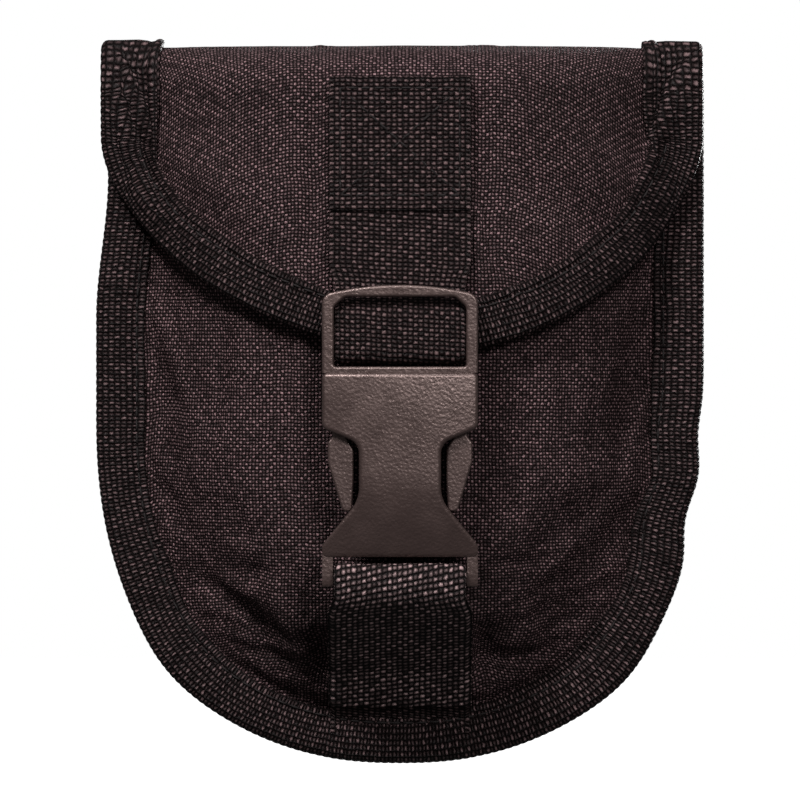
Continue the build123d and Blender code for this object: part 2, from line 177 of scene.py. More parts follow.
def mesh_object(name, points, faces, uv):
    """A mesh from points in millimetres. uv is in centimetres of cloth, one pair a point."""
    mesh = bpy.data.meshes.new(name)
    mesh.from_pydata((points * MM).tolist(), [], faces)
    layer = mesh.uv_layers.new(name="UVMap")
    corners = np.empty(len(mesh.loops), int)
    mesh.loops.foreach_get("vertex_index", corners)
    layer.data.foreach_set("uv", uv[corners].astype(np.float32).ravel())
    mesh.polygons.foreach_set("use_smooth", np.ones(len(mesh.polygons), bool))
    mesh.update()
    obj = bpy.data.objects.new(name, mesh)
    bpy.context.collection.objects.link(obj)
    return obj


def grid_object(name, points, uv, keep=None, around=False, caps=False):
    """A mesh from a grid of points. around joins its last column to its first."""
    rows, columns = points.shape[:2]
    index = np.arange(rows * columns).reshape(rows, columns)
    if around:
        index = np.concatenate([index, index[:, :1]], axis=1)
    quads = np.stack([index[:-1, :-1], index[1:, :-1], index[1:, 1:], index[:-1, 1:]], -1)
    quads = quads[keep] if keep is not None else quads.reshape(-1, 4)
    used, quads = np.unique(quads, return_inverse=True)
    faces = quads.reshape(-1, 4).tolist()
    if caps:
        faces.append(list(range(columns)))
        faces.append(list(range(rows * columns - columns, rows * columns))[::-1])
    return mesh_object(name, points.reshape(-1, 3)[used], faces, uv.reshape(-1, 2)[used])


def thicken(obj, thickness):
    """Gives a sheet its thickness, behind its outer face."""
    modifier = obj.modifiers.new("thickness", "SOLIDIFY")
    modifier.thickness = thickness * MM
    modifier.offset = -1.0
    return obj


def resample(points, step):
    """Points along a polyline, about step apart, with the length up to each of them."""
    gaps = np.linalg.norm(np.diff(points, axis=0), axis=1)
    length = np.concatenate([[0], np.cumsum(gaps)])
    count = max(2, int(length[-1] / step) + 1)
    at = np.linspace(0, length[-1], count)
    return np.stack([np.interp(at, length, column) for column in points.T], -1), at


def rounded(points, radii, steps=10):
    """A polyline with its inner corners rounded."""
    points = [np.array(p, float) for p in points]
    path = [points[0]]
    for before, corner, after, radius in zip(points, points[1:], points[2:], radii):
        into = (corner - before) / np.linalg.norm(corner - before)
        out = (after - corner) / np.linalg.norm(after - corner)
        turn = math.acos(float(np.clip(into @ out, -1, 1)))
        reach = radius * math.tan(turn / 2)
        for share in np.linspace(0, 1, steps):
            a, b = corner - into * reach, corner + out * reach
            path.append((1 - share) ** 2 * a + 2 * share * (1 - share) * corner + share**2 * b)
    path.append(points[-1])
    return np.array(path)


class Relief:
    """A surface sampled on a grid: across is x, and down is a distance towards the bottom."""

    def __init__(self, across, down, points):
        self.across, self.down, self.points = across, down, points
        over, along = np.gradient(points, axis=1), np.gradient(points, axis=0)
        normals = np.cross(along, over)
        self.normals = normals / np.linalg.norm(normals, axis=2, keepdims=True)
        middle = len(across) // 2
        width = np.linalg.norm(np.diff(points, axis=1), axis=2)
        u = np.concatenate([np.zeros((len(down), 1)), np.cumsum(width, axis=1)], axis=1)
        u = u - u[:, middle:middle + 1]
        height = np.linalg.norm(np.diff(points, axis=0), axis=2)
        v = np.concatenate([np.zeros((1, len(across))), np.cumsum(height, axis=0)], axis=0)
        self.flat = np.stack([u, v], -1) / 10

    def _sample(self, table, a, d):
        i = np.clip(np.searchsorted(self.down, d) - 1, 0, len(self.down) - 2)
        j = np.clip(np.searchsorted(self.across, a) - 1, 0, len(self.across) - 2)
        s = (d - self.down[i]) / (self.down[i + 1] - self.down[i])
        t = (a - self.across[j]) / (self.across[j + 1] - self.across[j])
        s, t = s[..., None], t[..., None]
        near = table[i, j] * (1 - t) + table[i, j + 1] * t
        return near * (1 - s) + (table[i + 1, j] * (1 - t) + table[i + 1, j + 1] * t) * s

    def at(self, a, d, lift=0.0):
        """Points at (a, d), lift out of the surface."""
        a, d = np.broadcast_arrays(np.asarray(a, float), np.asarray(d, float))
        lift = np.broadcast_to(lift, a.shape)[..., None]
        return self._sample(self.points, a, d) + self._sample(self.normals, a, d) * lift

    def uv(self, a, d):
        """Centimetres of cloth across and down, at (a, d)."""
        a, d = np.broadcast_arrays(np.asarray(a, float), np.asarray(d, float))
        return self._sample(self.flat, a, d)


# ---------------------------------------------------------------- shapes of the pouch

def inward_from(points):
    """The direction inwards at each point of an outline that runs from left to right."""
    tangent = np.gradient(points, axis=0)
    tangent /= np.linalg.norm(tangent, axis=1, keepdims=True)
    return np.stack([tangent[:, 1], -tangent[:, 0]], -1)


def edge_line(half_width, top, curve_start, drop, power, step):
    """Points (x, down) along an outline from its left top end to its right one, the
    direction inwards at each, and the length up to each. down is minus z."""
    angle = np.linspace(np.pi, 0, 1500)
    x = np.sign(np.cos(angle)) * np.abs(np.cos(angle)) ** (2 / power) * half_width
    z = curve_start - np.abs(np.sin(angle)) ** (2 / power) * drop
    x = np.concatenate([[-half_width], x, [half_width]])
    z = np.concatenate([[top], z, [top]])
    points, length = resample(np.stack([x, -z], -1), step)
    return points, inward_from(points), length


def pouch_line(top, step):
    """The pouch's edge, as edge_line gives it."""
    return edge_line(HALF_WIDTH, top, -CURVE_START, BOTTOM - CURVE_START, CURVE_POWER, step)


def pouch_drop(x, inset):
    """Distance below the origin of the pouch's outline, drawn in by inset, at x."""
    share = np.clip(np.abs(x) / (HALF_WIDTH - inset), 0, 1)
    drop = BOTTOM - CURVE_START - inset
    return CURVE_START + drop * (1 - share**CURVE_POWER) ** (1 / CURVE_POWER)


def flap_lean(x):
    """How much lower than the plain outline the flap hangs at x."""
    share = x / FLAP_HALF_WIDTH
    return FLAP_LEAN * np.sin(np.pi * np.clip(share, -1, 1))


def flap_end(x, inset):
    """The flap's edge, drawn in by inset, below FLAP_LEVEL at x."""
    share = np.clip(np.abs(x) / (FLAP_HALF_WIDTH - inset), 0, 1)
    drop = (FLAP_DROP - inset) * (1 - share**FLAP_POWER) ** (1 / FLAP_POWER)
    return FLAP_LEVEL - FLAP_CURVE_TOP + drop + flap_lean(x)


def hand_cut(x, z):
    """How far the pouch's sides stray from their even outline, in x."""
    left = 2.7 * smooth(-14, 18, z) - 1.5 * bell(z, -97, 13)
    right = 1.7 * bell(z, -99, 12) - 2.3 * bell(z, -60, 8) - 1.2 * bell(z, -41, 7)
    return left * smooth(-20, -52, x) + right * smooth(20, 52, x)


def shoulder_share(x, down, grow=0.0):
    """0 on the rim and 1 on the flat of the front, at (x, down)."""
    across = np.abs(x)
    below = np.maximum(down - CURVE_START, 0)
    low, high = np.full(across.shape, -0.9), np.ones(across.shape)
    for _ in range(30):
        middle = (low + high) / 2
        width = HALF_WIDTH - BINDING_WIDTH + grow - SIDE_SHOULDER * middle
        height = BOTTOM - CURVE_START - BINDING_WIDTH + grow - BOTTOM_SHOULDER * middle
        inside = (across / width) ** CURVE_POWER + (below / height) ** CURVE_POWER < 1
        low, high = np.where(inside, middle, low), np.where(inside, high, middle)
    return np.clip(low, 0, 1)


def front_out(share):
    """How far the front stands out of the back plane at a share of its shoulder."""
    return RIM_FRONT + (DEPTH - RIM_FRONT) * (1 - (1 - share) ** 2)


def shoulder_point(share, offset):
    """A point (y, z) in front of the bottom shoulder at x = 0."""
    out = -front_out(share)
    up = BINDING_WIDTH - BOTTOM + BOTTOM_SHOULDER * share
    slope = (DEPTH - RIM_FRONT) * 2 * (1 - share)
    length = math.hypot(slope, BOTTOM_SHOULDER)
    return (out - offset * BOTTOM_SHOULDER / length, up - offset * slope / length)


def settle(name, points, held, pressure, grow, limit):
    """Lets a grid of points relax as cloth with some slack in it, and returns how far each
    point moves. held marks the points that stay. No point moves further than limit."""
    obj = grid_object(name, points, np.zeros(points.shape[:2] + (2,)))
    group = obj.vertex_groups.new(name="held")
    for i in np.flatnonzero(held):
        group.add([int(i)], 1.0, "REPLACE")
    cloth = obj.modifiers.new("cloth", "CLOTH")
    cloth.settings.quality = 6
    cloth.settings.mass = 0.25
    cloth.settings.tension_stiffness = 25
    cloth.settings.compression_stiffness = 8
    cloth.settings.shear_stiffness = 6
    cloth.settings.bending_stiffness = 0.6
    cloth.settings.air_damping = 3
    cloth.settings.vertex_group_mass = "held"
    cloth.settings.shrink_min = -grow
    cloth.settings.use_pressure = True
    cloth.settings.uniform_pressure_force = pressure
    cloth.settings.effector_weights.gravity = 0.15
    cloth.collision_settings.use_collision = False
    cloth.point_cache.frame_start = 1
    cloth.point_cache.frame_end = SETTLE_FRAMES
    scene = bpy.context.scene
    for number in range(1, SETTLE_FRAMES + 1):
        scene.frame_set(number)
    graph = bpy.context.evaluated_depsgraph_get()
    moved = np.array([v.co for v in obj.evaluated_get(graph).data.vertices]) / MM
    scene.frame_set(1)
    bpy.data.objects.remove(obj)
    step = moved.reshape(points.shape) - points
    size = np.linalg.norm(step, axis=2, keepdims=True)
    return step * np.minimum(1, limit / np.maximum(size, 1e-6))


def make_front_relief():
    """The front panel's outer face: a flat rim, and a dome with puckers near the bottom."""
    across = np.linspace(-72, 72, 121)
    down = np.linspace(-MOUTH_TOP, 118.5, 129)
    x, d = np.meshgrid(across, down)
    share = shoulder_share(x, d)
    out = front_out(share) - TAPE * (1 - share) ** 6
    points = np.stack([x + hand_cut(x, -d), -out, -d], -1)
    rim = share <= 0.015
    held = rim | (d < -MOUTH_TOP + 0.1)
    open_to_view = smooth(-2, 8, d - flap_end(x, 0) + FLAP_LEVEL)
    slack = settle("front_slack", points, held, 1.5, 0.014, 2.0)
    points = points + slack * (0.12 + 0.88 * open_to_view[..., None])
    relief = Relief(across, down, points)
    free = smooth(0.0, 0.25, share) * (0.1 + 0.9 * open_to_view)
    puff = 0.55 * ripple(x, d, 3, 46) + 0.22 * ripple(x, d, 5, 17)
    for start, end, width, height in FRONT_CREASES:
        puff += crease(x, -d, start, end, width, height)
    depth = (puff * free)[..., None]
    return Relief(across, down, points + relief.normals * depth)


def make_flap_relief():
    """The flap's outer face, from the hinge over the top and down the front."""
    across = np.linspace(-72, 72, 121)
    roll = np.linspace(-FLAP_ROLL, 0, 29)
    fall = np.linspace(0, 64, 65)[1:]
    down = np.concatenate([roll, fall])
    share = shoulder_share(across, np.zeros(across.shape), FLAP_FACE)
    face = -(front_out(share) + FLAP_FACE)
    points = np.zeros((len(down), len(across), 3))
    top = TOP - 0.1
    turn = np.linspace(math.pi / 2 - 0.05, 0, 24)
    for j, (x, y) in enumerate(zip(across, face)):
        line = [(0.45, 40.5), (0.45, top - 2.2), (-0.6, top - 0.4)]
        arc_y = -2 + (y + 2) * np.cos(turn) ** 0.85
        arc_z = FLAP_LEVEL + (top - FLAP_LEVEL) * np.sin(turn) ** 0.8
        over, _ = resample(np.concatenate([line, np.stack([arc_y, arc_z], -1)]), 0.25)
        index = np.linspace(0, len(over) - 1, len(roll))
        for axis in (0, 1):
            points[:len(roll), j, axis + 1] = np.interp(index, np.arange(len(over)), over[:, axis])
        points[len(roll):, j, 1] = y
        points[len(roll):, j, 2] = FLAP_LEVEL - fall
        points[:, j, 0] = x + 0.9 * smooth(-20, -60, x)
    soft = len(roll) + 6
    for _ in range(7):
        inner = (points[:soft - 2] + 2 * points[1:soft - 1] + points[2:soft]) / 4
        points[1:soft - 1] = inner
    for _ in range(5):
        left, middle, right = points[:, :-2, 1:], points[:, 1:-1, 1:], points[:, 2:, 1:]
        points[:, 1:-1, 1:] = (left + 2 * middle + right) / 4
    x, d = np.meshgrid(across, down)
    held = (d < -9) | (np.abs(x) > 66) | ((np.abs(x) < 15) & (d < 28)) | (d > flap_end(x, 3))
    plain = Relief(across, down, points)
    slack = settle("flap_slack", points, held, 1.2, 0.012, 1.8)
    out = (slack * plain.normals).sum(axis=2, keepdims=True)
    points = points + slack - plain.normals * np.minimum(out + 0.2, 0)
    relief = Relief(across, down, points)
    free = smooth(-11, -3, d)
    puff = 0.4 * ripple(x, d, 11, 52) + 0.16 * ripple(x, d, 13, 15)
    for start, end, width, height in FLAP_CREASES:
        puff += crease(x, FLAP_LEVEL - d, start, end, width, height)
    flat = 1 - (1 - smooth(15, 19, np.abs(x))) * (1 - smooth(44, 52, d)) * smooth(-4, 0, d)
    depth = (np.maximum(puff, -0.45) * free * flat)[..., None]
    return Relief(across, down, points + relief.normals * depth)


# ---------------------------------------------------------------- tape, thread and webbing

def fold_tape(name, relief, line, width, behind, raise_by=None, seed=1):
    """A ribbed tape folded over an edge: line is (points, inward, length), width its width on
    each point, behind the distance from the relief to the tape's rear face."""
    points, inward, length = line
    raise_by = np.zeros(len(length)) if raise_by is None else raise_by
    rib = np.abs(np.sin(np.pi * length / RIB_PITCH)) ** 0.7
    uneven = ripple(length, 0 * length, seed, 31)
    half = (TAPE + behind) / 2
    rows, section = [], []
    for share in (1.0, 0.99, 0.93, 0.86, 0.8, 0.74, 0.6, 0.45, 0.3):
        section.append(("front", share))
    for turn in np.linspace(0, math.pi, 9):
        section.append(("edge", turn))
    for share in (0.3, 0.55, 0.8, 0.93, 0.99, 1.0):
        section.append(("back", share))
    flat = []
    run = 0.0
    last = None
    for kind, value in section:
        if kind == "edge":
            inset = half * 0.8 * (1 - math.sin(value)) - RIB_HEIGHT * rib * math.sin(value)
            lift = (TAPE - behind) / 2 + half * math.cos(value) + 0 * length
            lift = lift + RIB_HEIGHT * rib * math.cos(value)
            lift = lift + raise_by * (1 + math.cos(value)) / 2
        else:
            inset = value * width * (1 + 0.03 * uneven)
            dip = -0.45 * bell(value, 0.8, 0.07)
            crown = 0.25 * math.sin(math.pi * min(value, 0.99))
            sunk = {1.0: -0.8, 0.99: -0.15}.get(value, 0.0)
            lift = TAPE + crown + dip + sunk + RIB_HEIGHT * rib * (1 if value < 0.95 else 0.5)
            lift = lift + 0.1 * ripple(length, 9 * value, seed + 1, 9) + raise_by
            if kind == "back":
                lift = -(behind - TAPE) - lift + raise_by
        place = points + inward * np.asarray(inset)[..., None]
        row = relief.at(place[:, 0], place[:, 1], lift)
        if last is not None:
            run += float(np.median(np.linalg.norm(row - last, axis=1)))
        last = row
        rows.append(row)
        flat.append(np.stack([length / 10, np.full(len(length), run / 10)], -1))
    grid = np.stack(rows, axis=1)
    return grid_object(name, grid, np.stack(flat, axis=1), caps=True)


def stitches(name, path, outward):
    """A row of thread stitches along a path in space, each one bedded at its ends."""
    outward = np.broadcast_to(np.asarray(outward, float), path.shape)
    gaps = np.linalg.norm(np.diff(path, axis=0), axis=1)
    run = np.concatenate([[0], np.cumsum(gaps)])
    points, faces, uv = [], [], []
    sides, stations = 6, 6
    start = STITCH_GAP / 2
    while start + STITCH < run[-1]:
        at = np.linspace(start, start + STITCH, stations)
        middle = np.stack([np.interp(at, run, path[:, k]) for k in range(3)], -1)
        up = np.stack([np.interp(at, run, outward[:, k]) for k in range(3)], -1)
        along = np.gradient(middle, axis=0)
        side = np.cross(along, up)
        side /= np.linalg.norm(side, axis=1, keepdims=True)
        bow = np.sin(np.linspace(0, np.pi, stations))
        first = len(points)
        for i in range(stations):
            size = THREAD_RADIUS * (0.55 + 0.45 * bow[i])
            centre = middle[i] + up[i] * (bow[i] - 0.9) * THREAD_RADIUS * 1.1
            for turn in np.linspace(0, 2 * np.pi, sides, endpoint=False):
                offset = side[i] * math.cos(turn) + up[i] * math.sin(turn)
                points.append(centre + offset * size)
                uv.append((at[i] / 10, turn / 10))
        for i in range(stations - 1):
            for k in range(sides):
                a, b = first + i * sides + k, first + i * sides + (k + 1) % sides
                faces.append((a, b, b + sides, a + sides))
        faces.append(tuple(range(first + sides - 1, first - 1, -1)))
        faces.append(tuple(range(len(points) - sides, len(points))))
        start += STITCH + STITCH_GAP
    return mesh_object(name, np.array(points), faces, np.array(uv))


def strap(name, path, width, slant=0.0, seed=1, wave=0.12):
    """Webbing of an even thickness along a path (y, z). width is a number or a function of
    the path's points. Its front side is the one on the right of the path, seen from +X."""
    path, length = resample(np.array(path, float), 0.45)
    tangent = np.gradient(path, axis=0)
    tangent /= np.linalg.norm(tangent, axis=1, keepdims=True)
    normal = np.stack([tangent[:, 1], -tangent[:, 0]], -1)
    wide = width(path) if callable(width) else np.full(len(length), float(width))
    pick = np.abs(np.sin(np.pi * length / PICK_PITCH)) ** 0.7
    columns, flat = [], []
    count = 34
    for side in (1, -1):
        for share in np.linspace(-1, 1, count)[::side]:
            edge = math.sqrt(max(0.0, 1 - max(0.0, (abs(share) - 0.955) / 0.045) ** 2))
            rope = abs(math.sin(math.pi * (share + 1) * ROPES / 2)) ** 0.7
            x = share * (wide / 2 + 0.1 * pick * (abs(share) > 0.97))
            lift = side * (WEBBING / 2 * edge - 0.12 + 0.12 * rope * edge)
            lift = lift + wave * ripple(length, x, seed, 19)
            place = path + normal * lift[:, None]
            columns.append(np.stack([x, place[:, 0], place[:, 1]], -1))
            across = share * WEBBING_WIDTH / 20
            flat.append(np.stack([0 * length + across, length / 10 + slant * across], -1))
    grid = np.stack(columns, axis=1)
    return grid_object(name, grid, np.stack(flat, axis=1), around=True, caps=True)


# ---------------------------------------------------------------- materials

class Nodes:
    """Short names for building a material's nodes."""

    def __init__(self, name):
        self.material = bpy.data.materials.new(name)
        self.material.use_nodes = True
        self.tree = self.material.node_tree
        self.shader = self.tree.nodes["Principled BSDF"]

    def add(self, kind, inputs=(), **settings):
        node = self.tree.nodes.new(kind)
        for key, value in settings.items():
            setattr(node, key, value)
        for key, value in dict(inputs).items():
            self.put(node.inputs[key], value)
        return node

    def put(self, socket, value):
        if isinstance(value, bpy.types.NodeSocket):
            self.tree.links.new(value, socket)
        else:
            socket.default_value = value

    def math(self, operation, a, b=0.0):
        node = self.add("ShaderNodeMath", {0: a, 1: b}, operation=operation)
        return node.outputs[0]

    def vector(self, operation, inputs):
        return self.add("ShaderNodeVectorMath", inputs, operation=operation).outputs[0]

    def mix(self, share, a, b):
        """A colour between a and b."""
        node = self.add("ShaderNodeMix", data_type="RGBA")
        self.put(node.inputs[0], share)
        self.put(node.inputs[6], a)
        self.put(node.inputs[7], b)
        return node.outputs[2]

    def spread(self, value, low, high, to_low, to_high):
        inputs = {0: value, 1: low, 2: high, 3: to_low, 4: to_high}
        return self.add("ShaderNodeMapRange", inputs).outputs[0]

    def finish(self, **values):
        for key, value in values.items():
            self.put(self.shader.inputs[key.replace("_", " ")], value)
        return self.material


def woven(name, pitch, yarn, gap, depth, dash, contrast=0.7):
    """Plain-woven cloth, its base colour a painted pattern: painted highlights on the yarns'
    crossings and painted shade in the gaps between them. The yarn colour is the colour at a
    highlight's peak, and the gap colour the painted shade in the gaps. pitch is the yarns' spacing
    across and along, and depth their relief, in millimetres. dash is how narrow a crossing's
    painted highlight is in each of those directions, and contrast how much darker the painted sheen
    is on the crossings where the other yarn is on top."""
    n = Nodes(name)
    uv = n.add("ShaderNodeTexCoord").outputs["UV"]
    moved = uv
    for scale, detail, reach in ((2.2, 2.0, 0.06), (14.0, 1.0, 0.05)):
        noise = n.add("ShaderNodeTexNoise", {"Vector": uv, "Scale": scale, "Detail": detail})
        shift = n.vector("SUBTRACT", {0: noise.outputs["Color"], 1: (0.5, 0.5, 0.5)})
        shift = n.vector("SCALE", {0: shift, "Scale": reach})
        moved = n.vector("ADD", {0: moved, 1: shift})
    parts = n.add("ShaderNodeSeparateXYZ", {0: moved})
    u = n.math("MULTIPLY", parts.outputs[0], 10 / pitch[0])
    v = n.math("MULTIPLY", parts.outputs[1], 10 / pitch[1])
    wave_u = n.math("COSINE", n.math("MULTIPLY", u, math.pi))
    wave_v = n.math("COSINE", n.math("MULTIPLY", v, math.pi))
    product = n.math("MULTIPLY", wave_u, wave_v)
    hill = n.math("POWER", n.math("ABSOLUTE", product), 0.7)
    over = n.math("GREATER_THAN", product, 0.0)
    cell_u = n.math("FLOOR", n.math("ADD", u, 0.5))
    cell_v = n.math("FLOOR", n.math("ADD", v, 0.5))
    cell = n.add("ShaderNodeCombineXYZ", {0: cell_u, 1: cell_v}).outputs[0]
    chance = n.add("ShaderNodeTexWhiteNoise", {"Vector": cell}).outputs["Value"]
    fibres = n.add("ShaderNodeTexNoise", {"Vector": uv, "Scale": 55.0, "Detail": 3.0})
    # Painted sheen: crossings where the other yarn is on top are painted darker, by contrast.
    side = n.spread(over, 0, 1, 1 - contrast, 1)
    # Painted glints: each crossing's glint is made stronger or weaker at random.
    odd = n.spread(chance, 0, 1, 1 - YARN_SPREAD, 1 + YARN_SPREAD)
    # Painted highlight: a narrow bright dash on each crossing, falling off to painted shade towards
    # the gaps.
    narrow_u = n.math("POWER", n.math("ABSOLUTE", wave_u), dash[0])
    narrow_v = n.math("POWER", n.math("ABSOLUTE", wave_v), dash[1])
    tone = n.math("MULTIPLY", n.math("MULTIPLY", narrow_u, narrow_v), side)
    tone = n.math("MULTIPLY", tone, odd)
    tone = n.math("MULTIPLY", tone, n.spread(fibres.outputs[0], 0.3, 0.7, 0.6, 1.4))
    worn = n.add("ShaderNodeTexNoise", {"Vector": uv, "Scale": 0.35, "Detail": 4.0}).outputs[0]
    tone = n.math("MULTIPLY", tone, n.spread(worn, 0.3, 0.7, 0.82, 1.18))
    height = n.math("MULTIPLY", hill, n.spread(chance, 0, 1, 0.75, 1.0))
    height = n.math("ADD", height, n.math("MULTIPLY", fibres.outputs[0], 0.18))
    bump = n.add("ShaderNodeBump", {"Height": height, "Distance": depth * MM, "Strength": 1.0})
    # Base colour runs from the painted shade of the gaps to the painted highlight on the yarns.
    return n.finish(
        Base_Color=n.mix(tone, gap, yarn),
        Roughness=n.spread(hill, 0, 1, *YARN_ROUGHNESS),
        Normal=bump.outputs[0],
        Specular_IOR_Level=YARN_SPECULAR,
    )


def moulded(name, colour, rough, specular):
    """Dark plastic with a fine pebbled grain, slightly polished in places."""
    n = Nodes(name)
    place = n.add("ShaderNodeTexCoord").outputs["Object"]
    grain = n.add("ShaderNodeTexVoronoi", {"Vector": place, "Scale": 1500.0}, feature="SMOOTH_F1")
    fine = n.add("ShaderNodeTexNoise", {"Vector": place, "Scale": 2600.0, "Detail": 2.0})
    height = n.math("ADD", grain.outputs["Distance"], n.math("MULTIPLY", fine.outputs[0], 0.6))
    bump = n.add("ShaderNodeBump", {"Height": height, "Distance": 0.11 * MM, "Strength": 0.8})
    worn = n.add("ShaderNodeTexNoise", {"Vector": place, "Scale": 160.0, "Detail": 5.0}).outputs[0]
    tone = n.spread(worn, 0.3, 0.7, 0.0, 1.0)
    lighter = tuple(1.25 * c for c in colour[:3]) + (1.0,)
    return n.finish(
        Base_Color=n.mix(tone, colour, lighter),
        Roughness=n.spread(worn, 0.3, 0.7, rough - 0.04, rough + 0.06),
        Normal=bump.outputs[0],
        Specular_IOR_Level=specular,
        Specular_Tint=(1.0, 0.75, 0.70, 1),
    )


def sewing_thread(name, colour):
    """Twisted polyester thread, with painted shade in the grooves of its twist."""
    n = Nodes(name)
    uv = n.add("ShaderNodeTexCoord").outputs["UV"]
    parts = n.add("ShaderNodeSeparateXYZ", {0: uv})
    twist = n.math("ADD", n.math("MULTIPLY", parts.outputs[0], 120), parts.outputs[1])
    ply = n.math("ABSOLUTE", n.math("SINE", twist))
    bump = n.add("ShaderNodeBump", {"Height": ply, "Distance": 0.08 * MM, "Strength": 0.8})
    # Painted shade: the twist's grooves are painted at 0.4 of the thread's colour.
    groove_shade = tuple(0.4 * c for c in colour[:3]) + (1.0,)
    return n.finish(
        Base_Color=n.mix(ply, groove_shade, colour),
        Roughness=n.spread(ply, 0, 1, 0.8, 0.6),
        Normal=bump.outputs[0],
        Specular_IOR_Level=0.15,
    )


def plain_floor(name):
    """White studio floor."""
    n = Nodes(name)
    place = n.add("ShaderNodeTexCoord").outputs["Object"]
    mottle = n.add("ShaderNodeTexNoise", {"Vector": place, "Scale": 3.0}).outputs[0]
    colour = n.mix(n.spread(mottle, 0.3, 0.7, 0, 1), (0.86, 0.86, 0.86, 1), (0.9, 0.9, 0.9, 1))
    n.put(n.shader.inputs["Emission Color"], (1, 1, 1, 1))
    return n.finish(Base_Color=colour, Roughness=0.8, Emission_Strength=1.0)


# ---------------------------------------------------------------- the pieces

# In each woven look the yarn colour is a painted highlight, and the gap colour painted shade
# between the yarns.
CLOTH_LOOK = woven("nylon_cloth_weave", (0.82, 0.8), (0.205, 0.124, 0.130, 1),
                   (0.004, 0.002, 0.002, 1), 0.34, dash=(1.8, 2.2))
TAPE_LOOK = woven("binding_tape_weave", (0.875, 1.4), (0.118, 0.076, 0.077, 1),
                  (0.002, 0.001, 0.001, 1), 0.5, dash=(3.2, 1.5), contrast=0.75)
WEBBING_LOOK = woven("webbing_weave", (1.3, 0.98), (0.112, 0.071, 0.071, 1),
                     (0.002, 0.001, 0.001, 1), 0.5, dash=(1.5, 2.6))
# A coarser weave for the lower strap, with its yarn painted about three times lighter than the
# other webbing's: painted light on a strap that faces downwards.
COARSE_PAINTED_LIGHT_LOOK = woven("webbing_weave_coarse_painted_light", (1.25, 1.3), (0.330, 0.225, 0.225, 1),
                    (0.003, 0.002, 0.002, 1), 0.6, dash=(1.4, 3.0), contrast=0.75)
PLASTIC_LOOK = moulded("acetal_grain", (0.020, 0.0125, 0.0115, 1), rough=0.37, specular=1.0)
THREAD_LOOK = sewing_thread("thread_twist", (0.014, 0.011, 0.011, 1))


def dress(obj, look, body, slot, *nodes):
    """Gives a piece its material and, where one is given, its body, and hides the CAD nodes that it
    stands for.
    """
    obj.data.materials.append(look)
    if body:
        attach(obj, body)
    if nodes:
        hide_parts(*nodes)


def make_back_cloth():
    """The back panel, with a slight fullness between its seams."""
    across = np.linspace(-68, 68, 91)
    share = np.linspace(0, 1, 101)
    x = np.broadcast_to(across, (len(share), len(across)))
    top = -43.2
    down = top + share[:, None] * (pouch_drop(x, 1.2) - top)
    y = -0.35 + 0.3 * ripple(x, down, 21, 40) * smooth(0, 9, pouch_drop(x, 10) - down)
    points = np.stack([x + hand_cut(x, -down), y, -down], -1)[:, ::-1]
    uv = np.stack([x, down], -1)[:, ::-1] / 10
    cloth = thicken(grid_object("back_cloth", points, uv), CLOTH - 0.5)
    dress(cloth, CLOTH_LOOK, "pouch", "nylon_cloth", "back_panel")


def make_front_cloth(relief):
    """The front panel."""
    x, d = np.meshgrid(relief.across, relief.down)
    inside = (d < pouch_drop(x, 1.6)) & (np.abs(x) < HALF_WIDTH - 1.6)
    keep = inside[:-1, :-1] & inside[1:, :-1] & inside[1:, 1:] & inside[:-1, 1:]
    cloth = grid_object("front_cloth", relief.points, relief.flat, keep)
    soft = cloth.modifiers.new("soft", "SUBSURF")
    soft.levels = soft.render_levels = 1
    thicken(cloth, CLOTH - 0.2)
    dress(cloth, CLOTH_LOOK, "pouch", "nylon_cloth", "front_panel")


def sewn_end_bulge(x, down):
    """How far the rim's tape rises over the lower strap's sewn end."""
    under = smooth(-19, -14.5, x) * (1 - smooth(14.5, 19, x))
    return SEWN_RISE * under * smooth(100, 110, down)


def make_rim_binding(relief):
    """The tape round the pouch's edge, over the sewn end of the lower strap."""
    line = pouch_line(BINDING_TOP, 0.28)
    points, _, length = line
    x, down = points[:, 0], points[:, 1]
    width = BINDING_WIDTH + 0.5 * ripple(length, 0 * length, 31, 60)
    width = width + 1.6 * smooth(20, 60, x) * smooth(50, 90, down)
    lap = 0.7 * bell(down, 51, 2.6) * (x > 0)
    raised = sewn_end_bulge(x, down) + lap
    tape = fold_tape("rim_binding", relief, line, width, RIM_FRONT, raised, 33)
    dress(tape, TAPE_LOOK, "pouch", "binding_tape", "body_binding")


def make_rim_stitches(relief):
    """The stitching along the pouch's tape."""
    points, inward, _ = pouch_line(BINDING_TOP - 1, 1.0)
    place = points + inward * SEAM_INSET
    lift = TAPE + 0.1 + sewn_end_bulge(points[:, 0], points[:, 1])
    thread = stitches("rim_stitches", relief.at(place[:, 0], place[:, 1], lift), (0, -1, 0))
    dress(thread, THREAD_LOOK, "pouch", "thread", "body_seam_thread")


def make_mouth_tape(relief):
    """The tape over the front panel's top edge."""
    x = np.arange(-MOUTH_HALF_WIDTH, MOUTH_HALF_WIDTH, 0.3)
    points = np.stack([x, 0 * x - MOUTH_TOP + 0.4], -1)
    inward = np.stack([0 * x, 0 * x + 1], -1)
    line = (points, inward, x - x[0])
    width = 0 * x + MOUTH_TAPE_WIDTH - 0.4
    tape = fold_tape("mouth_tape", relief, line, width, CLOTH + TAPE - 0.2)
    dress(tape, TAPE_LOOK, "pouch", "binding_tape", "mouth_binding")


